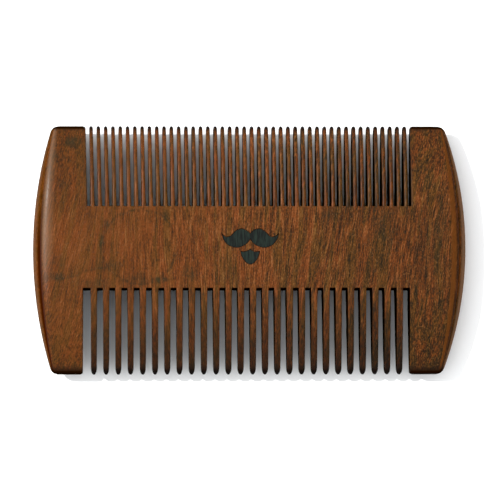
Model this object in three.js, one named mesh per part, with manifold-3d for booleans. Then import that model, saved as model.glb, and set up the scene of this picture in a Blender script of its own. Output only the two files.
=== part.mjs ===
// A double-sided beard comb: one flat wooden board with a bullnosed guard at each end, fine teeth
// along one long edge, coarse teeth along the other, and a small engraved mark with dark filler.
// Millimetres. X runs along the comb, +Y towards the fine teeth, +Z out of the marked face.
import * as THREE from 'three';
import { mergeVertices } from 'three/addons/utils/BufferGeometryUtils.js';
import Module from 'manifold-3d';

const wasm = await Module();
wasm.setup();

// Board
const LENGTH = 104.4;
const WIDTH = 60;
const THICKNESS = 9;
const TIP_THICKNESS = 3.2; // over both rows of tooth tips, where the faces have sloped in
const FLAT_HALF_WIDTH = 9; // the faces are flat this far either side of the middle
const EDGE_ROUND = 1.2; // on the thin long edges
const CORNER_RADIUS = 2; // in plan, where an end meets a long edge
const BULLNOSE = 4.3; // round of the thick ends
const LEFT_END = { x: -LENGTH / 2, radius: 100, apexY: 0 };
const RIGHT_END = { x: LENGTH / 2, radius: 84, apexY: 0.9 };

// Teeth. Root is the floor of the slots, and first is the middle of the leftmost tooth at its tip.
const FINE = { count: 44, pitch: 1.755, first: -38.25, width: 0.9, point: 1.6, root: 10.3, lean: 0.41 };
const COARSE = { count: 26, pitch: 2.94, first: -37.53, width: 1.36, point: 2.7, root: -9.45, lean: 0 };
const FINE_SLOT = FINE.pitch - FINE.width;
const ROOT_STRIP = 0.6; // wood that joins two fine teeth at their roots

// Guards: where each one starts beside the coarse teeth, which is also where the spine ends
const LEFT_GUARD_X = -40.17;
const RIGHT_GUARD_X = 38.41;

// Engraved mark
const RECESS_DEPTH = 0.55;
const FILL_DEPTH = 0.35;
const FILL_GAP = 0.25; // bare groove around the filler
const MARK_Y = 0.7;

const CURVE_STEPS = 4;
const BEYOND = 8; // how far a cutting shape runs past the board

const WOOD = { color: 0x6e4223, roughness: 0.55, metalness: 0 };
const FILLER = { color: 0x1f2a20, roughness: 0.7, metalness: 0 };

const group = new THREE.Group();

function toSolid(geometry) {
  const bare = geometry.clone();
  bare.deleteAttribute('normal');
  bare.deleteAttribute('uv');
  const merged = mergeVertices(bare, 1e-4);
  const mesh = new wasm.Mesh({
    numProp: 3,
    vertProperties: new Float32Array(merged.attributes.position.array),
    triVerts: new Uint32Array(merged.index.array),
  });
  return new wasm.Manifold(mesh);
}

function toGeometry(solid) {
  const mesh = solid.getMesh();
  const geometry = new THREE.BufferGeometry();
  geometry.setAttribute('position', new THREE.BufferAttribute(mesh.vertProperties, 3));
  geometry.setIndex(new THREE.BufferAttribute(mesh.triVerts, 1));
  geometry.computeVertexNormals();
  return geometry;
}

function addPiece(name, solid, finish) {
  const mesh = new THREE.Mesh(toGeometry(solid), new THREE.MeshStandardMaterial(finish));
  mesh.name = name;
  group.add(mesh);
}

// A plan outline made a slab from z = bottom to z = top
function slab(shape, bottom, top, curveSegments = CURVE_STEPS) {
  const options = { depth: top - bottom, bevelEnabled: false, curveSegments };
  return toSolid(new THREE.ExtrudeGeometry(shape, options).translate(0, 0, bottom));
}

function throughCut(shape) {
  return slab(shape, -BEYOND, THICKNESS + BEYOND);
}

function boxCut(x0, x1, y0, y1) {
  const box = new THREE.BoxGeometry(x1 - x0, y1 - y0, THICKNESS + 2 * BEYOND);
  return toSolid(box.translate((x0 + x1) / 2, (y0 + y1) / 2, THICKNESS / 2));
}

// Across the comb: flat faces in the middle that curve in to thin rounded edges
function crossSection() {
  const tip = WIDTH / 2;
  const shoulder = tip - EDGE_ROUND;
  const thin = TIP_THICKNESS / 2;
  const half = THICKNESS / 2;
  const bend = (FLAT_HALF_WIDTH + shoulder) / 2;
  const shape = new THREE.Shape();
  shape.moveTo(-FLAT_HALF_WIDTH, -half);
  shape.lineTo(FLAT_HALF_WIDTH, -half);
  shape.quadraticCurveTo(bend, -half, shoulder, -thin);
  shape.quadraticCurveTo(tip, -thin, tip, 0);
  shape.quadraticCurveTo(tip, thin, shoulder, thin);
  shape.quadraticCurveTo(bend, half, FLAT_HALF_WIDTH, half);
  shape.lineTo(-FLAT_HALF_WIDTH, half);
  shape.quadraticCurveTo(-bend, half, -shoulder, thin);
  shape.quadraticCurveTo(-tip, thin, -tip, 0);
  shape.quadraticCurveTo(-tip, -thin, -shoulder, -thin);
  shape.quadraticCurveTo(-bend, -half, -FLAT_HALF_WIDTH, -half);
  return shape;
}

function boardStock() {
  const length = LENGTH + 2 * BEYOND;
  const options = { depth: length, bevelEnabled: false, curveSegments: CURVE_STEPS };
  const geometry = new THREE.ExtrudeGeometry(crossSection(), options).translate(0, 0, -length / 2);
  const alongX = new THREE.Matrix4().makeBasis(
    new THREE.Vector3(0, 1, 0),
    new THREE.Vector3(0, 0, 1),
    new THREE.Vector3(1, 0, 0),
  );
  return toSolid(geometry.applyMatrix4(alongX).translate(0, 0, THICKNESS / 2));
}

// One end of the comb in plan: a shallow arc that bulges away from the middle. side is -1 at the
// left and 1 at the right.
function endArc(end, side, reach) {
  const centreX = end.x - side * end.radius;
  const spread = Math.asin(reach / end.radius);
  const middle = side > 0 ? 0 : Math.PI;
  const shape = new THREE.Shape();
  shape.moveTo(0, end.apexY + side * reach);
  shape.lineTo(0, end.apexY - side * reach);
  shape.absarc(centreX, end.apexY, end.radius, middle - spread, middle + spread, false);
  return shape;
}

// The thick end with its bullnose, longer in Y than the board, which trims it
function bullnosedEnd(end, side) {
  const options = {
    depth: THICKNESS - 2 * BULLNOSE,
    bevelThickness: BULLNOSE,
    bevelSize: BULLNOSE,
    bevelOffset: -BULLNOSE,
    bevelSegments: 6,
    curveSegments: 8,
  };
  const geometry = new THREE.ExtrudeGeometry(endArc(end, side, WIDTH / 2 + BEYOND), options);
  return toSolid(geometry.translate(0, 0, BULLNOSE));
}

// Rounded corners in plan where the end meets the two long edges
function cornerTrim(end, side) {
  const edge = WIDTH / 2;
  const centreX = end.x - side * end.radius;
  const cornerAt = (y) => centreX + side * Math.sqrt(end.radius ** 2 - (y - end.apexY) ** 2);
  const shape = new THREE.Shape();
  shape.moveTo(0, -side * edge);
  const near = { x: cornerAt(-side * edge), y: -side * edge };
  const far = { x: cornerAt(side * edge), y: side * edge };
  const nearIn = { x: cornerAt(near.y + side * CORNER_RADIUS), y: near.y + side * CORNER_RADIUS };
  const farIn = { x: cornerAt(far.y - side * CORNER_RADIUS), y: far.y - side * CORNER_RADIUS };
  shape.lineTo(near.x - side * CORNER_RADIUS, near.y);
  shape.quadraticCurveTo(near.x, near.y, nearIn.x, nearIn.y);
  shape.lineTo(end.x + side * BEYOND, nearIn.y);
  shape.lineTo(end.x + side * BEYOND, farIn.y);
  shape.lineTo(farIn.x, farIn.y);
  shape.quadraticCurveTo(far.x, far.y, far.x - side * CORNER_RADIUS, far.y);
  shape.lineTo(0, far.y);
  return throughCut(shape);
}

function fineGuardEdge(rootX) {
  return { root: rootX, tip: rootX - FINE.lean };
}

const FIRST_FINE_ROOT = FINE.first + FINE.lean;
const LAST_FINE_ROOT = FIRST_FINE_ROOT + (FINE.count - 1) * FINE.pitch;
const LEFT_FINE_EDGE = fineGuardEdge(FIRST_FINE_ROOT - FINE.width / 2 - FINE_SLOT);
const RIGHT_FINE_EDGE = fineGuardEdge(LAST_FINE_ROOT + FINE.width / 2 + FINE_SLOT);

// The guard in plan: everything beyond the last slots. shelf is the height where the edge steps
// from the spine's end to the slant of the fine slots.
function guardRegion(coarseX, fineEdge, side, shelf) {
  const outside = side * (LENGTH / 2 + BEYOND);
  const top = WIDTH / 2;
  const overshoot = (fineEdge.tip - fineEdge.root) * (BEYOND / (top - FINE.root));
  const shape = new THREE.Shape();
  shape.moveTo(outside, -top - BEYOND);
  shape.lineTo(outside, top + BEYOND);
  shape.lineTo(fineEdge.tip + overshoot, top + BEYOND);
  shape.lineTo(fineEdge.root, FINE.root);
  shape.lineTo(fineEdge.root, shelf);
  shape.lineTo(coarseX, shelf);
  shape.lineTo(coarseX, -top - BEYOND);
  return throughCut(shape);
}

function guard(stock, end, side, coarseX, fineEdge, shelf) {
  const region = guardRegion(coarseX, fineEdge, side, shelf);
  return stock.intersect(bullnosedEnd(end, side)).intersect(cornerTrim(end, side)).intersect(region);
}

// A tooth in plan, straight sided with a pointed round tip. away is 1 for teeth that point to +Y
// and -1 for those that point to -Y.
function toothOutline(row, tipX, away, base) {
  const half = row.width / 2;
  const tipY = away * WIDTH / 2;
  const neckY = tipY - away * row.point;
  const rootX = tipX + row.lean;
  const neckX = tipX + row.lean * (row.point / (WIDTH / 2 - Math.abs(row.root)));
  const shape = new THREE.Shape();
  shape.moveTo(rootX - half, base);
  shape.lineTo(rootX + half, base);
  shape.lineTo(neckX + half, neckY);
  shape.quadraticCurveTo(tipX + half, tipY - away * row.point * 0.3, tipX + half * 0.22, tipY);
  shape.lineTo(tipX - half * 0.22, tipY);
  shape.quadraticCurveTo(tipX - half, tipY - away * row.point * 0.3, neckX - half, neckY);
  return shape;
}

function coarseTooth(stock, index) {
  const tipX = COARSE.first + index * COARSE.pitch;
  return stock.intersect(throughCut(toothOutline(COARSE, tipX, -1, COARSE.root)));
}

function finePair(stock, pair) {
  const tipX = FINE.first + 2 * pair * FINE.pitch;
  const rootX = tipX + FINE.lean;
  const isFirst = pair === 0;
  const isLast = 2 * pair + 2 === FINE.count;
  const left = isFirst ? LEFT_FINE_EDGE.root : rootX - FINE.pitch / 2;
  const right = isLast ? RIGHT_GUARD_X : rootX + 1.5 * FINE.pitch;
  const strip = boxCut(left, right, FINE.root - ROOT_STRIP, FINE.root);
  const base = FINE.root - ROOT_STRIP / 2;
  const teeth = [tipX, tipX + FINE.pitch].map((x) => throughCut(toothOutline(FINE, x, 1, base)));
  return stock.intersect(strip.add(teeth[0]).add(teeth[1]));
}

// The mark is a plain moustache above a small leaf-shaped beard
function moustacheShape() {
  const shape = new THREE.Shape();
  shape.moveTo(0, 3.1);
  shape.bezierCurveTo(1.2, 4.6, 3.0, 4.6, 4.2, 3.0);
  shape.bezierCurveTo(5.0, 2.0, 6.0, 2.0, 6.9, 3.2);
  shape.bezierCurveTo(6.8, 0.6, 4.6, -0.9, 2.6, -0.4);
  shape.bezierCurveTo(1.4, -0.1, 0.6, 0.5, 0, 1.5);
  shape.bezierCurveTo(-0.6, 0.5, -1.4, -0.1, -2.6, -0.4);
  shape.bezierCurveTo(-4.6, -0.9, -6.8, 0.6, -6.9, 3.2);
  shape.bezierCurveTo(-6.0, 2.0, -5.0, 2.0, -4.2, 3.0);
  shape.bezierCurveTo(-3.0, 4.6, -1.2, 4.6, 0, 3.1);
  return shape;
}

function goateeShape() {
  const shape = new THREE.Shape();
  shape.moveTo(0, -0.7);
  shape.bezierCurveTo(1.0, -1.5, 2.0, -1.3, 2.4, -1.2);
  shape.bezierCurveTo(2.2, -3.0, 1.2, -4.3, 0, -4.6);
  shape.bezierCurveTo(-1.2, -4.3, -2.2, -3.0, -2.4, -1.2);
  shape.bezierCurveTo(-2.0, -1.3, -1.0, -1.5, 0, -0.7);
  return shape;
}

function recess(shape) {
  return slab(shape, THICKNESS - RECESS_DEPTH, THICKNESS + BEYOND).translate([0, MARK_Y, 0]);
}

// Filler on the recess floor, smaller all round than the recess
function filler(shape) {
  const lip = 0.05;
  const options = {
    depth: FILL_DEPTH - 2 * lip,
    bevelThickness: lip,
    bevelSize: lip,
    bevelOffset: -lip - FILL_GAP,
    bevelSegments: 1,
    curveSegments: CURVE_STEPS,
  };
  const geometry = new THREE.ExtrudeGeometry(shape, options);
  return toSolid(geometry.translate(0, MARK_Y, THICKNESS - RECESS_DEPTH + lip));
}

function numbered(stem, index) {
  return `${stem}_${String(index + 1).padStart(2, '0')}`;
}

const stock = boardStock();
const stripFloor = FINE.root - ROOT_STRIP;

const spine = stock
  .intersect(boxCut(LEFT_GUARD_X, RIGHT_GUARD_X, COARSE.root, stripFloor))
  .subtract(recess(moustacheShape()))
  .subtract(recess(goateeShape()));
addPiece('spine', spine, WOOD);
addPiece('left_end_guard', guard(stock, LEFT_END, -1, LEFT_GUARD_X, LEFT_FINE_EDGE, stripFloor), WOOD);
addPiece('right_end_guard', guard(stock, RIGHT_END, 1, RIGHT_GUARD_X, RIGHT_FINE_EDGE, FINE.root), WOOD);
for (let i = 0; i < COARSE.count; i += 1) {
  addPiece(numbered('coarse_tooth', i), coarseTooth(stock, i), WOOD);
}
for (let pair = 0; pair < FINE.count / 2; pair += 1) {
  addPiece(numbered('fine_tooth_pair', pair), finePair(stock, pair), WOOD);
}
addPiece('moustache_filler', filler(moustacheShape()), FILLER);
addPiece('goatee_filler', filler(goateeShape()), FILLER);

export default group;
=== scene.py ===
"""The look of a two-sided wooden beard comb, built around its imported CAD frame."""

import math

import bmesh
import bpy
from mathutils import Matrix, Vector


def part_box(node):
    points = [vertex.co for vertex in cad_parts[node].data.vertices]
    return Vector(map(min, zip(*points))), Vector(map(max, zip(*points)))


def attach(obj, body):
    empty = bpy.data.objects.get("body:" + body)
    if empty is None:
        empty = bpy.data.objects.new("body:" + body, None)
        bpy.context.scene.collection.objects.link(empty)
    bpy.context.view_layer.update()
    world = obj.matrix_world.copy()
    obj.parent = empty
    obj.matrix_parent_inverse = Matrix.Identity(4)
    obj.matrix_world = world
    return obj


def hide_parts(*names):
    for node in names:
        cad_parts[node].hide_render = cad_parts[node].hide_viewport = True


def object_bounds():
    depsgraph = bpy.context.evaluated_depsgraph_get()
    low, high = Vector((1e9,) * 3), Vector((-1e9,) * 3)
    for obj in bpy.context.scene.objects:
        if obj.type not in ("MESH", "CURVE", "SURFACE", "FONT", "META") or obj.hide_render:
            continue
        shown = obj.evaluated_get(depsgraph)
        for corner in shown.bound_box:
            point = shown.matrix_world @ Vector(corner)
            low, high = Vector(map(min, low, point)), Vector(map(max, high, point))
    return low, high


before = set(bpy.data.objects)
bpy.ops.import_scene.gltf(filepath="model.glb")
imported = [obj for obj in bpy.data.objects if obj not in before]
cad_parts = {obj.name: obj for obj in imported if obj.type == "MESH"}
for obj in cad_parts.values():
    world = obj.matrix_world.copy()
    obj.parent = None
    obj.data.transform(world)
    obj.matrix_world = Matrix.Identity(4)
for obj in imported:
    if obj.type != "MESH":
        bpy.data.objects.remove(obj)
cad_low, cad_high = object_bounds()

MM = 0.001

# The board, from the frame
LENGTH_X = cad_high.x
HALF_WIDTH = cad_high.y
MIDDLE_Z = (cad_high.z + cad_low.z) / 2
HALF_THICK = (cad_high.z - cad_low.z) / 2
SPINE_LOW, SPINE_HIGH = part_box("spine")
FINE_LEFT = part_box("fine_tooth_pair_01")[0].x

# How the board is shaped: flat along the middle, thinner towards both long edges, and round at its ends
FLAT_HALF_WIDTH = 9 * MM
TIP_HALF_THICK = 1.6 * MM
RIM_HALF_THICK = 0.3 * MM
EDGE_ROUND = 1.2 * MM
SHOULDER = HALF_WIDTH - EDGE_ROUND
BULLNOSE = 4.3 * MM
BULLNOSE_STEPS = 10
NOSE_NARROWING = 0.75
CORNER_RADIUS = 1.4 * MM
INNER_CORNER = 0.7 * MM
SANDED_EDGE = 0.2 * MM
# The curve of each end: its radius, and how far across the comb it bulges most
LEFT_ARC = (100 * MM, 0.0)
RIGHT_ARC = (84 * MM, 0.9 * MM)
# Places along the comb: before the guards, on the guards before their rims, around the guards' corners
# beside the teeth, and where the guards' faces start
BEFORE_GUARDS = 30 * MM
BEFORE_RIMS = 45 * MM
GUARD_CORNERS = (35 * MM, 41.5 * MM)
GUARD_INSIDE = 38.6 * MM
# How much of the bullnose, from the rim, is dull
DULL_SHARE = 0.41
# Vertices this near to a row belong to it
SAME_ROW = 0.002 * MM

# Teeth: how many, how far apart, and the middle of the first one at its tip
COARSE_COUNT, COARSE_PITCH, COARSE_FIRST = 26, 2.94 * MM, -37.53 * MM
FINE_COUNT, FINE_PITCH, FINE_FIRST = 44, 1.755 * MM, -38.25 * MM
# Their width, the length of the point, and how far their edges are rounded
COARSE_WIDTH, COARSE_POINT, COARSE_ROUND = 1.47 * MM, 2.0 * MM, 0.24 * MM
FINE_WIDTH, FINE_POINT, FINE_ROUND = 0.95 * MM, 1.0 * MM, 0.36 * MM
# The fine teeth's tips lie to the left of their roots, and less so towards the right
FINE_LEAN, FINE_FAN = 0.41 * MM, 0.29 * MM
COARSE_ROOT = SPINE_LOW.y
FINE_ROOT = 10.3 * MM
FINE_RIGHT = FINE_FIRST + FINE_LEAN + FINE_COUNT * FINE_PITCH - FINE_WIDTH / 2
# How deep a tooth goes into the spine, and how far its faces lie below the board's
ROOT_DEPTH = 0.6 * MM
SUNK = 0.012 * MM


def half_thickness(y):
    """Half the board's thickness at a distance from its long middle line."""
    y = min(abs(y), HALF_WIDTH)
    if y <= FLAT_HALF_WIDTH:
        return HALF_THICK
    if y <= SHOULDER:
        slope = (y - FLAT_HALF_WIDTH) / (SHOULDER - FLAT_HALF_WIDTH)
        return HALF_THICK - (HALF_THICK - TIP_HALF_THICK) * slope**2
    over = (y - SHOULDER) / EDGE_ROUND
    return max(TIP_HALF_THICK * math.sqrt(max(1 - over**2, 0)), RIM_HALF_THICK)


def rounding(distance, radius):
    """How far a rounded corner has drawn in at a distance from the edge that it rounds."""
    reach = max(radius - distance, 0)
    return radius - math.sqrt(max(radius**2 - reach**2, 0))


# Work in edit mode


def add_block(name, low, high):
    bpy.ops.object.select_all(action="DESELECT")
    low, high = Vector(low), Vector(high)
    bpy.ops.mesh.primitive_cube_add(size=1, location=(low + high) / 2, scale=high - low)
    piece = bpy.context.object
    piece.name = piece.data.name = name
    bpy.ops.object.transform_apply(location=True, rotation=True, scale=True)
    bpy.ops.object.mode_set(mode="EDIT")
    return piece


def pick(piece, test, kind="VERT"):
    """Selects the vertices that pass the test, or the faces whose corners all do, and nothing else."""
    bpy.ops.mesh.select_mode(type=kind)
    bpy.ops.mesh.select_all(action="DESELECT")
    mesh = bmesh.from_edit_mesh(piece.data)
    if kind == "VERT":
        found = [v for v in mesh.verts if test(v.co)]
    else:
        found = [face for face in mesh.faces if all(test(v.co) for v in face.verts)]
    for item in found:
        item.select_set(True)
    bmesh.update_edit_mesh(piece.data)
    return len(found)


def pick_edges(piece, test):
    """Selects the edges whose two ends pass the test together, and nothing else."""
    bpy.ops.mesh.select_mode(type="EDGE")
    bpy.ops.mesh.select_all(action="DESELECT")
    mesh = bmesh.from_edit_mesh(piece.data)
    for edge in mesh.edges:
        if test(*(v.co for v in edge.verts)):
            edge.select_set(True)
    bmesh.update_edit_mesh(piece.data)


def rows_of(piece):
    """The distances across the comb at which the piece, in edit mode, has vertices."""
    return sorted({round(v.co.y, 6) for v in bmesh.from_edit_mesh(piece.data).verts})


def near(a, b):
    return abs(a - b) < 2 * SAME_ROW


def cut_rows(stations):
    """Cuts a row of vertices all round the piece at each distance across the comb."""
    for y in stations:
        bpy.ops.mesh.select_all(action="SELECT")
        bpy.ops.mesh.bisect(plane_co=(0, y, 0), plane_no=(0, 1, 0))


def move(x=0.0, y=0.0, z=0.0):
    bpy.ops.transform.translate(value=(x, y, z))


def squeeze(x=1.0, y=1.0, z=1.0, about=(0, 0, 0)):
    bpy.ops.transform.resize(value=(x, y, z), center_override=about)


def leave_edit():
    bpy.ops.object.mode_set(mode="OBJECT")


def use_modifier(piece, kind, **settings):
    modifier = piece.modifiers.new(kind.title(), kind)
    for key, value in settings.items():
        setattr(modifier, key, value)
    bpy.context.view_layer.objects.active = piece
    bpy.ops.object.modifier_apply(modifier=modifier.name)


def smooth(piece, degrees):
    bpy.ops.object.select_all(action="DESELECT")
    piece.select_set(True)
    bpy.context.view_layer.objects.active = piece
    bpy.ops.object.shade_smooth_by_angle(angle=math.radians(degrees))


# The board's body: the spine and both end guards


def body_stations():
    """Distances across the comb where the body gets a row: even on the faces, closer on the edge."""
    slope = [FLAT_HALF_WIDTH + (SHOULDER - FLAT_HALF_WIDTH) * i / 16 for i in range(17)]
    edge = [SHOULDER + EDGE_ROUND * math.sin(math.radians(a)) for a in (20, 38, 54, 68, 80)]
    middle = [FLAT_HALF_WIDTH * i / 5 for i in range(5)]
    side = middle + slope + edge
    return sorted({round(s * y, 7) for y in side for s in (-1, 1)})


def end_x(side, y):
    """Where the rim of an end lies, with its rounded corners."""
    radius, apex = LEFT_ARC if side < 0 else RIGHT_ARC
    sag = radius - math.sqrt(radius**2 - (y - apex) ** 2)
    return side * (LENGTH_X - sag - rounding(HALF_WIDTH - abs(y), CORNER_RADIUS))


def nose_depth(y):
    """How far in from the rim the bullnose starts, which is less towards the long edges."""
    return BULLNOSE * (1 - NOSE_NARROWING * (y / HALF_WIDTH) ** 2)


def grow(piece, test, x=0.0, y=0.0):
    """Extrudes the faces that pass the test."""
    pick(piece, test, "FACE")
    bpy.ops.mesh.extrude_region_move(TRANSFORM_OT_translate={"value": (x, y, 0)})


def make_body():
    body = add_block(
        "comb_body",
        (SPINE_LOW.x, COARSE_ROOT, cad_low.z),
        (SPINE_HIGH.x, FINE_ROOT, cad_high.z),
    )
    # The row of fine slots starts and ends further right than the row of coarse ones
    pick(body, lambda v: near(v.y, FINE_ROOT) and v.x < 0)
    move(x=FINE_LEFT - SPINE_LOW.x)
    pick(body, lambda v: near(v.y, FINE_ROOT) and v.x > 0)
    move(x=FINE_RIGHT - SPINE_HIGH.x)
    # The guards' middles, squared up to the rim
    for side in (-1, 1):
        grow(body, lambda v: v.x * side > BEFORE_GUARDS, x=side * 10 * MM)
        pick(body, lambda v: v.x * side > BEFORE_RIMS)
        squeeze(x=0, about=(side * LENGTH_X, 0, 0))
    # The guards' arms
    for side in (-1, 1):
        for root, edge in ((FINE_ROOT, HALF_WIDTH), (COARSE_ROOT, -HALF_WIDTH)):
            grow(body, lambda v: v.x * side > BEFORE_GUARDS and near(v.y, root), y=edge - root)
        pick(body, lambda v: BEFORE_GUARDS < v.x * side < BEFORE_RIMS and near(v.y, HALF_WIDTH))
        move(x=-FINE_LEAN if side < 0 else FINE_FAN - FINE_LEAN)
    # The bullnose, on the four long edges of the two ends
    at_end = LENGTH_X - 1 * MM
    pick_edges(body, lambda a, b: min(abs(a.x), abs(b.x)) > at_end and abs(a.z - b.z) < 1 * MM)
    bpy.ops.mesh.bevel(offset=BULLNOSE, segments=BULLNOSE_STEPS, profile=0.5, affect="EDGES")
    cut_rows(body_stations())
    shape_rows(body)
    leave_edit()
    use_modifier(
        body, "BEVEL", width=SANDED_EDGE, segments=3, limit_method="ANGLE", angle_limit=math.radians(50),
        use_clamp_overlap=False, harden_normals=False,
    )
    return body


def shape_rows(body):
    """Thins each row towards the long edges, and draws its ends in to the curved rims."""
    nose_start = LENGTH_X - BULLNOSE - 0.01 * MM
    first, last = GUARD_CORNERS
    for y in rows_of(body):
        for side in (-1, 1):
            if pick(body, lambda v: abs(v.y - y) < SAME_ROW and v.x * side > nose_start):
                squeeze(x=nose_depth(y) / BULLNOSE, about=(side * LENGTH_X, 0, 0))
                move(x=end_x(side, y) - side * LENGTH_X)
        if pick(body, lambda v: abs(v.y - y) < SAME_ROW):
            squeeze(z=half_thickness(y) / HALF_THICK, about=(0, 0, MIDDLE_Z))
        # The guards' corners beside the teeth are rounded too
        drawn = rounding(HALF_WIDTH - abs(y), INNER_CORNER)
        if drawn > 0:
            for side in (-1, 1):
                pick(body, lambda v: abs(v.y - y) < SAME_ROW and first < v.x * side < last)
                move(x=side * drawn)


# Teeth

# Shares of a tooth's width: what it gains at its root, over what length, and what it loses to its tip
ROOT_FLARE, FLARE_LENGTH = 0.12, 1.6 * MM
SLIMMING = 0.04
# The point's curve, the width left at its end, and where it gets rows
TIP_BLUNTNESS = 2.8
TIP_WIDTH_SHARE = 0.3
TIP_ROWS = (0.2, 0.38, 0.54, 0.68, 0.79, 0.87, 0.93, 0.975)


def shape_tooth(piece, root, point, lean):
    """Tapers a tooth, in edit mode, from its root to a pointed round tip."""
    for y in rows_of(piece):
        from_root = abs(y) - abs(root.y)
        from_tip = HALF_WIDTH - abs(y)
        along = from_root / (HALF_WIDTH - abs(root.y))
        flare = ROOT_FLARE * math.exp(-max(from_root, 0) / FLARE_LENGTH)
        slim = 1 - SLIMMING * max(along, 0) + flare
        if from_tip < point:
            slim *= math.sqrt(max(1 - (1 - from_tip / point) ** TIP_BLUNTNESS, 0))
        slim = max(slim, TIP_WIDTH_SHARE)
        pick(piece, lambda v: abs(v.y - y) < SAME_ROW)
        thin = (half_thickness(y) - SUNK) / HALF_THICK
        squeeze(x=slim, z=thin, about=(root.x, 0, MIDDLE_Z))
        if lean:
            move(x=-lean * along)


def tooth_stations(root, point, away):
    """Rows along a tooth, closer towards its root and its tip."""
    start = abs(root.y)
    neck = HALF_WIDTH - point
    shank = start + 3 * MM
    side = [start - 0.02 * MM, start + 0.5 * MM, start + 1.5 * MM, shank]
    side += [shank + (neck - shank) * i / 7 for i in range(1, 8)]
    side += [neck + point * share for share in TIP_ROWS]
    return [away * y for y in side]


def make_tooth(name, root, away, width, point, round_off, lean):
    """A tooth that stands on the middle of its root and points to the fine side, 1, or the coarse, -1."""
    low_y, high_y = sorted((root.y - away * ROOT_DEPTH, away * HALF_WIDTH))
    low = (root.x - width / 2, low_y, cad_low.z)
    high = (root.x + width / 2, high_y, cad_high.z)
    tooth = add_block(name, low, high)
    pick_edges(tooth, lambda a, b: abs(a.y - b.y) > 1 * MM)
    bpy.ops.mesh.bevel(offset=round_off, segments=4, profile=0.5, affect="EDGES", clamp_overlap=True)
    cut_rows(tooth_stations(root, point, away))
    shape_tooth(tooth, root, point, lean)
    leave_edit()
    smooth(tooth, 60)
    return tooth


def copy_along(master, name, step, root, turn):
    """A copy of a tooth further along its row, turned about its root."""
    bpy.ops.object.select_all(action="DESELECT")
    master.select_set(True)
    bpy.context.view_layer.objects.active = master
    bpy.ops.object.duplicate(linked=False)
    copy = bpy.context.object
    copy.name = copy.data.name = name
    turned = Matrix.Rotation(turn, 4, "Z")
    new_root = root + Vector((step, 0, 0))
    copy.matrix_world = Matrix.Translation(new_root) @ turned @ Matrix.Translation(-root)
    bpy.ops.object.transform_apply(location=True, rotation=True, scale=True)
    return copy


def make_row(stem, count, pitch, master, root, fan=0.0):
    """A row of teeth from its first one. They fan out, by that much at the last one's tip."""
    teeth = [master]
    for i in range(1, count):
        turn = -fan / (HALF_WIDTH - root.y) * i / (count - 1)
        teeth.append(copy_along(master, f"{stem}_{i + 1:02d}", i * pitch, root, turn))
    return teeth


# The mark, in millimetres: each knot of its outline, with the handles before and after it

MOUSTACHE = [
    ((0, 3.1), (-1.2, 4.6), (1.2, 4.6)),
    ((4.2, 3.0), (3.0, 4.6), (5.0, 2.0)),
    ((6.9, 3.2), (6.0, 2.0), (6.8, 0.6)),
    ((2.6, -0.4), (4.6, -0.9), (1.4, -0.1)),
    ((0, 1.5), (0.6, 0.5), (-0.6, 0.5)),
    ((-2.6, -0.4), (-1.4, -0.1), (-4.6, -0.9)),
    ((-6.9, 3.2), (-6.8, 0.6), (-6.0, 2.0)),
    ((-4.2, 3.0), (-5.0, 2.0), (-3.0, 4.6)),
]
GOATEE = [
    ((0, -0.7), (-1.0, -1.5), (1.0, -1.5)),
    ((2.4, -1.2), (2.0, -1.3), (2.2, -3.0)),
    ((0, -4.6), (1.2, -4.3), (-1.2, -4.3)),
    ((-2.4, -1.2), (-2.2, -3.0), (-2.0, -1.3)),
]
MARK_Y = 0.7 * MM
RECESS_FLOOR = cad_high.z - 0.55 * MM
FILLER_TOP = RECESS_FLOOR + 0.35 * MM
# Bare wood between a fill and the edge of its recess
GROOVE = 0.16 * MM


def outline_solid(name, knots, bottom, top, inset=0.0):
    """A closed solid over an outline of curves, from one height to another."""
    curve = bpy.data.curves.new(name, "CURVE")
    curve.dimensions = "2D"
    curve.fill_mode = "BOTH"
    curve.resolution_u = 16
    curve.extrude = (top - bottom) / 2
    curve.offset = -inset
    spline = curve.splines.new("BEZIER")
    spline.bezier_points.add(len(knots) - 1)
    spline.use_cyclic_u = True
    for point, (here, before, after) in zip(spline.bezier_points, knots):
        point.co = (here[0] * MM, here[1] * MM, 0)
        point.handle_left = (before[0] * MM, before[1] * MM, 0)
        point.handle_right = (after[0] * MM, after[1] * MM, 0)
    solid = bpy.data.objects.new(name, curve)
    bpy.context.scene.collection.objects.link(solid)
    bpy.ops.object.select_all(action="DESELECT")
    solid.select_set(True)
    bpy.context.view_layer.objects.active = solid
    solid.location = (0, MARK_Y, (top + bottom) / 2)
    bpy.ops.object.convert(target="MESH")
    bpy.ops.object.transform_apply(location=True, rotation=True, scale=True)
    bpy.ops.object.mode_set(mode="EDIT")
    bpy.ops.mesh.select_all(action="SELECT")
    bpy.ops.mesh.remove_doubles(threshold=0.002 * MM)
    bpy.ops.mesh.normals_make_consistent(inside=False)
    leave_edit()
    return bpy.context.object


def engrave(body, name, knots):
    cutter = outline_solid(name + "_cutter", knots, RECESS_FLOOR, cad_high.z + 2 * MM)
    use_modifier(body, "BOOLEAN", operation="DIFFERENCE", solver="EXACT", object=cutter)
    bpy.data.objects.remove(cutter)


# Materials


OPTIONS = {
    "Math": "operation",
    "VectorMath": "operation",
    "MapRange": "interpolation_type",
    "Mix": "blend_type",
}


def linear(code):
    """A colour for a shader from an sRGB hex code."""
    parts = [int(code[i : i + 2], 16) / 255 for i in (1, 3, 5)]
    return [c / 12.92 if c <= 0.04045 else ((c + 0.055) / 1.055) ** 2.4 for c in parts] + [1]


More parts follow.
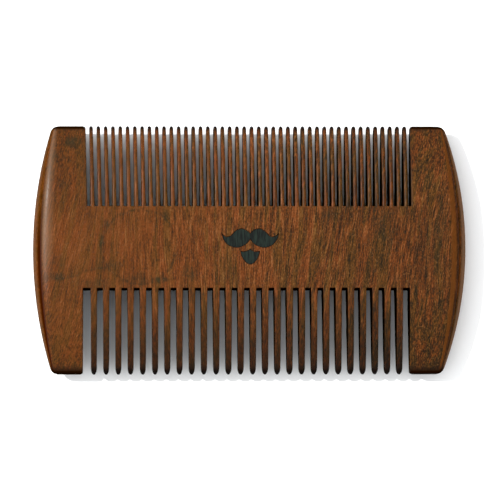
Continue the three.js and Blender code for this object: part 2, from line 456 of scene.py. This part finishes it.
def add(tree, kind, *inputs, **settings):
    """Adds a node: its kind, with its operation or blend after a space, its inputs in order, or by name
    in one dict, and its settings. An input is a value or another node's output. Gives its output, or a
    list of them if it has more than one."""
    kind, _, option = kind.partition(" ")
    made = tree.nodes.new("ShaderNode" + kind)
    if kind == "Mix":
        made.data_type = "RGBA"
    if option:
        settings[OPTIONS[kind]] = option
    for key, value in settings.items():
        setattr(made, key, value)
    slots = [i for i in made.inputs if i.enabled]
    if inputs and isinstance(inputs[0], dict):
        given = [(next(i for i in slots if i.name == key), v) for key, v in inputs[0].items()]
    else:
        given = list(zip(slots, inputs))
    for slot, value in given:
        if isinstance(value, bpy.types.NodeSocket):
            tree.links.new(value, slot)
        else:
            slot.default_value = value
    outputs = [o for o in made.outputs if o.enabled]
    return outputs[0] if len(outputs) == 1 else outputs


def new_tree(name):
    material = bpy.data.materials.new(name)
    material.use_nodes = True
    tree = material.node_tree
    tree.nodes.clear()
    return material, tree


def millimetres(tree):
    """The place on the piece, in millimetres."""
    return add(tree, "VectorMath MULTIPLY", add(tree, "TexCoord")[3], (1 / MM,) * 3)


def grain(tree, place, across, along, seed, detail=2.0):
    """Noise drawn out along the fibres, with that many features to the millimetre each way."""
    shift = (seed, seed * 1.7, seed * 0.6)
    stretched = add(tree, "VectorMath MULTIPLY_ADD", place, (across, along, across), shift)
    settings = {"Vector": stretched, "Scale": 1.0, "Detail": detail, "Roughness": 0.6}
    return add(tree, "TexNoise", settings)[0]


def patch(tree, place, centre, size):
    """1 in the middle of an ellipse on the face, falling to 0 at its edge."""
    away = add(tree, "VectorMath SUBTRACT", place, (*centre, 0))
    away = add(tree, "VectorMath MULTIPLY", away, (1 / size[0], 1 / size[1], 0))
    return add(tree, "MapRange SMOOTHSTEP", add(tree, "VectorMath LENGTH", away), 1.0, 0.0, 0.0, 1.0)


def between(tree, value, rise, fall):
    """A strip across a value: how much of it shows, rising over one range and falling over the other.
    Each range is where it starts and ends, and what it goes from and to."""
    risen = add(tree, "MapRange SMOOTHSTEP", value, *rise)
    return add(tree, "Math MULTIPLY", risen, add(tree, "MapRange SMOOTHSTEP", value, *fall))


# The figure of this board, in millimetres: its ring, and its cloudy patches with middle, half size, depth
RING_MIDDLE, RING_RADIUS = (-26.6, 0.5), 9.0
DARK_PATCHES = [
    ((-42.4, 26.0), (3.4, 2.2), 0.42),
    ((-46.6, 22.4), (2.0, 2.0), 0.26),
    ((-44.8, 15.4), (1.8, 1.8), 0.18),
    ((-46.0, -3.2), (2.0, 2.4), 0.26),
    ((-46.6, -6.8), (3.6, 1.7), 0.26),
    ((-34.4, 5.6), (1.8, 2.4), 0.34),
    ((-35.6, 1.5), (1.1, 3.8), 0.26),
    ((-33.5, -4.4), (3.2, 2.2), 0.20),
    ((-21.6, -7.6), (3.2, 1.1), 0.42),
    ((-27.0, -7.4), (6.0, 2.4), 0.22),
    ((-38.0, -8.4), (7.0, 2.2), 0.16),
    ((-14.6, -6.2), (3.6, 3.0), 0.22),
    ((-20.6, 8.2), (2.2, 1.7), 0.18),
    ((-5.5, -5.5), (2.0, 5.0), 0.12),
    ((19.0, 8.2), (2.8, 2.6), 0.20),
    ((32.0, 4.0), (4.8, 8.0), 0.14),
    ((43.8, 16.5), (2.6, 2.8), 0.16),
    ((46.0, 7.0), (1.9, 10.0), 0.22),
    ((43.4, 0.0), (4.6, 11.0), 0.14),
]
LIGHT_PATCHES = [
    ((-45.0, 2.0), (7.0, 8.0), 0.11),
    ((-31.0, 2.0), (2.6, 6.0), 0.12),
    ((-20.6, -2.5), (2.2, 5.0), 0.18),
    ((-10.5, 2.5), (5.0, 6.0), 0.06),
    ((14.8, 4.0), (1.5, 7.0), 0.16),
    ((27.3, 3.0), (1.4, 7.0), 0.14),
    ((39.6, 14.0), (1.1, 5.5), 0.16),
    ((-44.0, -20.0), (6.5, 9.0), 0.14),
]
# Noise in the wood: features to the millimetre across and along the fibres, and how strongly it shows
FIGURE = [
    (0.10, 0.06, 0.30),
    (0.8, 0.05, 0.50),
    (1.9, 0.10, 0.60),
    (3.4, 0.40, 0.80),
    (4.6, 0.28, 2.00),
    (5.0, 1.60, 1.40),
]
WOOD_TONES = [(0.0, "#1a0f03"), (0.35, "#341d07"), (0.62, "#512b09"), (0.84, "#613414"), (1.0, "#704524")]


def board_figure(tree, place, x, y):
    """How much the ring, the flow line and the patches lighten the board, and how olive it gets."""
    rough = grain(tree, place, 0.9, 0.25, 8.0)
    ragged = add(tree, "MapRange SMOOTHSTEP", rough, 0.36, 0.62, 1.5, 0.5)
    stray = add(tree, "TexNoise", {"Vector": place, "Scale": 0.35, "Detail": 3.0})[1]
    strayed = add(tree, "VectorMath MULTIPLY_ADD", stray, (1.6, 1.6, 0.0), (-0.8, -0.8, 0.0))
    strayed = add(tree, "VectorMath ADD", place, strayed)

    dark, light = 0.0, 0.0
    for centre, size, depth in DARK_PATCHES:
        dark = add(tree, "Math MULTIPLY_ADD", patch(tree, strayed, centre, size), depth, dark)
    for centre, size, lift in LIGHT_PATCHES:
        light = add(tree, "Math MULTIPLY_ADD", patch(tree, strayed, centre, size), lift, light)

    # A thin broken ring at the left
    away = add(tree, "VectorMath SUBTRACT", strayed, (*RING_MIDDLE, 0))
    away = add(tree, "VectorMath LENGTH", add(tree, "VectorMath MULTIPLY", away, (1, 1, 0)))
    off_ring = add(tree, "Math ABSOLUTE", add(tree, "Math SUBTRACT", away, RING_RADIUS))
    ring = add(tree, "MapRange SMOOTHSTEP", off_ring, 0.45, 0.0, 0.0, 0.26)
    broken = add(tree, "TexNoise", {"Vector": place, "Scale": 0.17, "Detail": 1.0})[0]
    broken = add(tree, "MapRange SMOOTHSTEP", broken, 0.40, 0.58, 0.4, 1.0)
    dark = add(tree, "Math MULTIPLY_ADD", ring, broken, dark)

    # A faint line that runs up into the ring from the left guard, with shade above it
    rise = add(tree, "Math MULTIPLY_ADD", x, -0.26, -4.6)
    above = add(tree, "Math ADD", add(tree, "SeparateXYZ", strayed)[1], rise)
    line = add(tree, "MapRange SMOOTHSTEP", add(tree, "Math ABSOLUTE", above), 0.6, 0.0, 0.0, 0.09)
    shade = between(tree, above, (-0.4, 0.2, 0.0, 1.0), (3.8, 0.0, 0.0, 0.08))
    flow = add(tree, "Math ADD", line, shade)
    reach = add(tree, "MapRange SMOOTHSTEP", x, -30.0, -38.0, 0.0, 1.0)
    dark = add(tree, "Math MULTIPLY_ADD", flow, reach, dark)

    # The upper half of the left guard, the lower part of the board and all of its right side are darker
    upper = add(tree, "MapRange SMOOTHSTEP", y, 6.0, 20.0, 0.0, 0.12)
    guard = add(tree, "MapRange SMOOTHSTEP", x, -34.0, -40.0, 0.0, 1.0)
    side = add(tree, "MapRange SMOOTHSTEP", x, -10.0, 44.0, 0.0, 0.18)
    lower = add(tree, "MapRange SMOOTHSTEP", y, -6.0, -22.0, 0.0, 0.12)
    guards = add(tree, "Math MULTIPLY_ADD", upper, guard, add(tree, "Math ADD", side, lower))
    light = add(tree, "Math SUBTRACT", light, guards)
    dark = add(tree, "Math MULTIPLY", dark, ragged)
    return add(tree, "Math MULTIPLY_ADD", dark, -0.6, light), add(tree, "Math MULTIPLY", dark, 1.4)


def wood_colour(tree, place, x, y):
    """The waxed wood's colour, and the height of its grain."""
    # The fibres wander a little, and lean over on the right and in the left guard
    wander = grain(tree, place, 0.05, 0.02, 3.1)
    lean = add(tree, "MapRange SMOOTHSTEP", x, -8.0, 24.0, 0.0, 0.14)
    lean = add(tree, "Math ADD", lean, add(tree, "MapRange SMOOTHSTEP", x, -26.0, -44.0, 0.0, 0.22))
    wandered = add(tree, "Math MULTIPLY_ADD", wander, 5.0, x)
    line = add(tree, "Math SUBTRACT", wandered, add(tree, "Math MULTIPLY", y, lean))
    leaning = add(tree, "CombineXYZ", line, y, add(tree, "SeparateXYZ", place)[2])

    # Calm on the left, more strongly marked on the right
    figure, shares = 0.0, 0.0
    for seed, (across, along, share) in enumerate(FIGURE):
        fibres = grain(tree, leaning, across, along, 5.0 + seed)
        figure = add(tree, "Math MULTIPLY_ADD", fibres, share, figure)
        shares += share
    strength = add(tree, "MapRange SMOOTHSTEP", x, -40.0, 15.0, 0.55, 1.0)
    tone = add(tree, "Math MULTIPLY_ADD", add(tree, "Math SUBTRACT", figure, shares / 2), strength, 0.615)
    lift, olive = board_figure(tree, place, x, y)
    tone = add(tree, "Math ADD", tone, lift)

    tones = add(tree, "ValToRGB", tone)
    stops = tones[0].node.color_ramp.elements
    for position, _ in WOOD_TONES[1:-1]:
        stops.new(position)
    for stop, (position, code) in zip(stops, WOOD_TONES):
        stop.position, stop.color = position, linear(code)

    colour = add(tree, "Mix MIX", olive, tones[0], linear("#2f2411"))
    # Redder and greener streaks lie side by side
    hue = grain(tree, leaning, 0.6, 0.045, 41.0)
    for start, full, tint in ((0.5, 0.58, "#fff0e6"), (0.48, 0.40, "#e6faea")):
        streaked = add(tree, "MapRange SMOOTHSTEP", hue, start, full, 0.0, 1.3)
        streaked = add(tree, "Math MULTIPLY", streaked, strength)
        colour = add(tree, "Mix MULTIPLY", streaked, colour, linear(tint))

    # Short dark pores and fine pale flecks between the fibres
    pores = grain(tree, leaning, 5.0, 1.6, 21.0, detail=1.0)
    pored = add(tree, "MapRange SMOOTHSTEP", pores, 0.38, 0.28, 0.0, 0.45)
    pored = add(tree, "Math MULTIPLY", pored, strength)
    colour = add(tree, "Mix MIX", pored, colour, linear("#1c1308"))
    flecks = grain(tree, leaning, 4.2, 2.0, 33.0, detail=1.0)
    flecked = add(tree, "MapRange SMOOTHSTEP", flecks, 0.58, 0.74, 0.0, 0.35)
    flecked = add(tree, "Math MULTIPLY", flecked, strength)
    colour = add(tree, "Mix MIX", flecked, colour, linear("#75502c"))
    height = add(tree, "MapRange SMOOTHSTEP", pores, 0.28, 0.42, 0.0, 0.5)
    return colour, add(tree, "Math MULTIPLY_ADD", fibres, 0.5, height)


def rim_distance(tree, place, arc, side):
    """How far inside the rim of an end, in millimetres, and more where the bullnose is narrower, so that
    what follows the rim narrows with it. It is large on the rest of the comb."""
    x, y, _ = add(tree, "SeparateXYZ", place)
    radius, apex = arc[0] / MM, arc[1] / MM
    away = add(tree, "VectorMath SUBTRACT", place, (side * (LENGTH_X / MM - radius), apex, 0))
    away = add(tree, "VectorMath LENGTH", add(tree, "VectorMath MULTIPLY", away, (1, 1, 0)))
    along = add(tree, "Math MULTIPLY", x, side)
    beyond = add(tree, "MapRange SMOOTHSTEP", along, 30.0, 34.0, radius + 30.0, radius)
    inside = add(tree, "Math SUBTRACT", beyond, away)
    off_middle = add(tree, "Math MULTIPLY", y, MM / HALF_WIDTH)
    narrowing = add(tree, "Math MULTIPLY", add(tree, "Math POWER", off_middle, 2.0), NOSE_NARROWING)
    return add(tree, "Math DIVIDE", inside, add(tree, "Math SUBTRACT", 1.0, narrowing))


# How teeth darken towards their tips, as painted shade on the coarse row, where rounding and neighbouring
# teeth shade it: from where to where, in millimetres from the comb's middle line, and to what shade
NO_FADE = (40.0, 41.0, 1.0)
COARSE_TIP_SHADE = (10.0, 30.0, 0.3)
FINE_FADE = (26.5, 30.0, 0.5)


def waxed_wood(name, fade=NO_FADE, shine=0.075):
    """Hardwood, sawn, sanded and waxed: reddish brown with fine dark fibres, cloudy olive figure, a low
    sheen, and darker thin edges and tooth tips.
    Painted shade darkens upright walls and the coarse teeth's tips, and painted highlight, sheen and
    reflections lie on the rims."""
    material, tree = new_tree(name)
    place = millimetres(tree)
    x, y, _ = add(tree, "SeparateXYZ", place)
    colour, height = wood_colour(tree, place, x, y)

    left = rim_distance(tree, place, LEFT_ARC, -1)
    right = rim_distance(tree, place, RIGHT_ARC, 1)
    rim = add(tree, "Math MINIMUM", left, right)
    # An orange strip follows the right rim, with a dark line on its outside that is a painted reflection
    # of the dark horizon on the bullnose
    strip = between(tree, right, (2.2, 2.6, 0.0, 1.0), (3.9, 3.4, 0.0, 0.7))
    colour = add(tree, "Mix MIX", strip, colour, linear("#552d07"))
    dark_reflection_line = between(tree, right, (1.4, 1.8, 0.0, 1.0), (2.5, 2.2, 0.0, 0.5))
    colour = add(tree, "Mix MIX", dark_reflection_line, colour, linear("#2b1404"))

    # The outermost edge of both rims is painted pale and greyish, a painted reflection of the white
    # floor, stronger on the right rim that gets less light
    floor_reflection = add(tree, "MapRange SMOOTHSTEP", left, 1.2, 0.2, 0.0, 0.45)
    colour = add(tree, "Mix MIX", floor_reflection, colour, linear("#5b4636"))
    floor_reflection = add(tree, "MapRange SMOOTHSTEP", right, 1.6, 0.6, 0.0, 0.6)
    colour = add(tree, "Mix MIX", floor_reflection, colour, linear("#7a5d48"))

    # The upper part of the left rim gets a painted sheen, a pale highlight band, and the lower part a
    # band of painted shade, the dark reflection of the horizon
    painted_sheen = between(tree, left, (1.9, 2.5, 0.0, 1.0), (5.6, 2.9, 0.0, 0.45))
    painted_sheen = add(tree, "Math MULTIPLY", painted_sheen, add(tree, "MapRange SMOOTHSTEP", y, -12.0, 4.0, 0.0, 1.0))
    colour = add(tree, "Mix MIX", painted_sheen, colour, linear("#6e5440"))
    dark_band_shade = between(tree, left, (0.8, 1.4, 0.0, 1.0), (2.5, 1.8, 0.0, 1.0))
    dark_band_shade = add(tree, "Math MULTIPLY", dark_band_shade, add(tree, "MapRange SMOOTHSTEP", y, 22.0, -2.0, 0.0, 1.0))
    colour = add(tree, "Mix MIX", dark_band_shade, colour, linear("#2a0c00"))

    # Both long edges are dark, the lower one further in, and upright walls that aren't on a rim get
    # painted shade, as deep in the slots
    reach = add(tree, "Math ABSOLUTE", y)
    tip = add(tree, "Math SUBTRACT", HALF_WIDTH / MM, reach)
    depth = add(tree, "MapRange SMOOTHSTEP", y, -10.0, 10.0, 2.7, 1.5)
    edge = add(tree, "MapRange SMOOTHSTEP", tip, depth, 0.4, 0.0, 1.0)
    colour = add(tree, "Mix MIX", edge, colour, linear("#140600"))
    upright = add(tree, "Math ABSOLUTE", add(tree, "SeparateXYZ", add(tree, "TexCoord")[1])[2])
    shaded_wall = add(tree, "MapRange SMOOTHSTEP", upright, 0.6, 0.2, 0.0, 1.0)
    shaded_wall = add(tree, "Math MULTIPLY", shaded_wall, add(tree, "MapRange SMOOTHSTEP", rim, 1.0, 2.0, 0.0, 1.0))
    colour = add(tree, "Mix MIX", shaded_wall, colour, linear("#0e0602"))
    # Painted shade: the coarse teeth darken towards their tips, where their rounding and their neighbours
    # shade them; the fine teeth's tips darken too
    shade = add(tree, "MapRange SMOOTHSTEP", reach, fade[0], fade[1], 1.0, fade[2])
    colour = add(tree, "Mix MULTIPLY", 1.0, colour, add(tree, "CombineXYZ", shade, shade, shade))

    # Satin where the wax was rubbed, and dull on walls, rims and edges
    bump = add(tree, "Bump", {"Strength": 0.5, "Distance": 0.05 * MM, "Height": height})
    satin = add(tree, "MapRange SMOOTHSTEP", height, 0.3, 0.8, 0.37, 0.29)
    dull = add(tree, "Math MAXIMUM", shaded_wall, add(tree, "MapRange SMOOTHSTEP", rim, 2.3, 1.3, 0.0, 1.0))
    dull = add(tree, "Math MAXIMUM", dull, edge)
    roughness = add(tree, "Math MULTIPLY_ADD", dull, 0.65, satin)
    finish = {"Base Color": colour, "Roughness": roughness, "Normal": bump, "Specular IOR Level": shine}
    add(tree, "OutputMaterial", add(tree, "BsdfPrincipled", finish))
    return material


def shaded_slot_wood(name):
    """Sawn hardwood on the slots' walls, made nearly black as painted shade deep in the slots, and dull,
    with faint uneven patches."""
    material, tree = new_tree(name)
    patches = add(tree, "TexNoise", {"Vector": millimetres(tree), "Scale": 2.5, "Detail": 3.0})[0]
    shown = add(tree, "MapRange SMOOTHSTEP", patches, 0.35, 0.65, 0.0, 1.0)
    colour = add(tree, "Mix MIX", shown, linear("#0a0401"), linear("#180b04"))
    finish = {"Base Color": colour, "Roughness": 0.9, "Specular IOR Level": 0.0}
    add(tree, "OutputMaterial", add(tree, "BsdfPrincipled", finish))
    return material


def green_paint(name):
    """Thin blackish-green paint rubbed into the engraving, with the grain showing through."""
    material, tree = new_tree(name)
    streaks = grain(tree, millimetres(tree), 2.6, 0.3, 4.0)
    shown = add(tree, "MapRange SMOOTHSTEP", streaks, 0.38, 0.66, 0.0, 1.0)
    colour = add(tree, "Mix MIX", shown, linear("#070b09"), linear("#16201a"))
    finish = {"Base Color": colour, "Roughness": 0.6, "Specular IOR Level": 0.1}
    add(tree, "OutputMaterial", add(tree, "BsdfPrincipled", finish))
    return material


def white_paper(name):
    """Smooth white card under the comb, matt."""
    material, tree = new_tree(name)
    finish = {"Base Color": linear("#fafafa"), "Roughness": 0.9}
    add(tree, "OutputMaterial", add(tree, "BsdfPrincipled", finish))
    return material


# A wooden piece's finishes, in the order of its materials
FLATS, SHADED_WALLS, RIMS = range(3)


def finish_of(face):
    """The finish of a face of the wood: the flats, the slots' upright walls with their painted shade, or
    the guards' dull rims.
    """
    x, y, _ = face.center
    if abs(x) < GUARD_INSIDE:
        return SHADED_WALLS if abs(face.normal.z) < 0.3 else FLATS
    if abs(y) > SHOULDER:
        return RIMS if abs(face.normal.z) < 0.83 else FLATS
    from_rim = abs(end_x(math.copysign(1, x), y) - x)
    return RIMS if from_rim < DULL_SHARE * nose_depth(y) else FLATS


def dress(piece, finishes, slot, *nodes):
    """Gives a piece its finishes, hangs it from the root body, and hides the frame's parts that it stands
    for.
    """
    piece.data.materials.clear()
    for finish in finishes:
        piece.data.materials.append(finish)
    if len(finishes) > 1:
        for face in piece.data.polygons:
            face.material_index = finish_of(face)
    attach(piece, "root")
    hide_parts(*nodes)


# Stage


def make_floor():
    bpy.ops.object.select_all(action="DESELECT")
    bpy.ops.mesh.primitive_plane_add(size=6, location=(0, 0, cad_low.z))
    floor = bpy.context.object
    floor.name = "floor"
    floor.data.materials.append(white_paper("white_paper"))


def make_lights():
    """A white room, brighter overhead and to the upper left, and a lamp there that casts the shadow."""
    towards = Vector((-0.62, 0.24, 0.743)).normalized()
    world = bpy.data.worlds.new("studio")
    bpy.context.scene.world = world
    world.use_nodes = True
    tree = world.node_tree
    tree.nodes.clear()
    direction = add(tree, "TexCoord")[0]
    facing = add(tree, "VectorMath DOT_PRODUCT", direction, tuple(towards))
    glow = add(tree, "Math POWER", add(tree, "Math MAXIMUM", facing, 0.0), 5.0)
    strength = add(tree, "Math MULTIPLY_ADD", glow, 0.6, 1.0)
    height = add(tree, "MapRange LINEAR", add(tree, "SeparateXYZ", direction)[2], 0.0, 1.0, 0.62, 1.3)
    strength = add(tree, "Math MULTIPLY", strength, height)
    sideways = add(tree, "VectorMath DOT_PRODUCT", direction, (-0.28, 0.12, 0.0))
    strength = add(tree, "Math MULTIPLY", strength, add(tree, "Math ADD", sideways, 1.0))
    add(tree, "OutputWorld", add(tree, "Background", (0.985, 1, 1.01, 1), strength))
    bpy.ops.object.light_add(type="SUN", location=(-0.3, 0.1, 0.4))
    sun = bpy.context.object
    sun.data.energy = 3.5
    sun.data.angle = math.radians(2)
    sun.rotation_euler = towards.to_track_quat("Z", "Y").to_euler()


def make_camera():
    """Looks down on the marked face, from a little below and left of straight above."""
    distance = 1.0
    seen = 120.5 * MM
    back = Vector((-0.036, -0.08, 1)).normalized()
    up = back.cross(Vector((1, 0, 0))).normalized()
    turned = Matrix((up.cross(back), up, back)).transposed()
    aim = Vector((0.06 * MM, -0.06 * MM, MIDDLE_Z + 1.2 * MM))
    bpy.ops.object.camera_add(location=back * distance + aim, rotation=turned.to_euler())
    camera = bpy.context.object
    camera.data.sensor_width = 36
    camera.data.lens = 36 * distance / seen
    bpy.context.scene.camera = camera
    bpy.context.scene.view_settings.view_transform = "Standard"


body = make_body()
engrave(body, "moustache", MOUSTACHE)
engrave(body, "goatee", GOATEE)
smooth(body, 40)
use_modifier(body, "WEIGHTED_NORMAL", mode="FACE_AREA", weight=60, keep_sharp=True)

coarse_root = Vector((COARSE_FIRST, COARSE_ROOT, 0))
coarse_master = make_tooth(
    "coarse_tooth_carved_01", coarse_root, -1, COARSE_WIDTH, COARSE_POINT, COARSE_ROUND, lean=0
)
coarse = make_row("coarse_tooth_carved", COARSE_COUNT, COARSE_PITCH, coarse_master, coarse_root)
fine_root = Vector((FINE_FIRST + FINE_LEAN, FINE_ROOT, 0))
fine_master = make_tooth(
    "fine_tooth_carved_01", fine_root, 1, FINE_WIDTH, FINE_POINT, FINE_ROUND, lean=FINE_LEAN
)
fine = make_row("fine_tooth_carved", FINE_COUNT, FINE_PITCH, fine_master, fine_root, FINE_FAN)
moustache_fill = outline_solid("moustache_paint", MOUSTACHE, RECESS_FLOOR, FILLER_TOP, GROOVE)
goatee_fill = outline_solid("goatee_paint", GOATEE, RECESS_FLOOR, FILLER_TOP, GROOVE)

# The slots' walls carry painted shade
shaded_wall_wood = shaded_slot_wood("shaded_slot_walls")
rim_wood = waxed_wood("dull_rims", shine=0.0)
board_wood = waxed_wood("waxed_board")
coarse_wood = waxed_wood("waxed_coarse_teeth", COARSE_TIP_SHADE)
fine_wood = waxed_wood("waxed_fine_teeth", FINE_FADE)
paint = green_paint("green_paint")

board_finishes = (board_wood, shaded_wall_wood, rim_wood)
dress(body, board_finishes, "comb_wood", "spine", "left_end_guard", "right_end_guard")
for i, tooth in enumerate(coarse):
    dress(tooth, (coarse_wood, shaded_wall_wood, rim_wood), "comb_wood", f"coarse_tooth_{i + 1:02d}")
for i, tooth in enumerate(fine):
    dress(tooth, (fine_wood, shaded_wall_wood, rim_wood), "comb_wood", f"fine_tooth_pair_{i // 2 + 1:02d}")
dress(moustache_fill, (paint,), "mark_filler", "moustache_filler")
dress(goatee_fill, (paint,), "mark_filler", "goatee_filler")

make_floor()
make_lights()
make_camera()
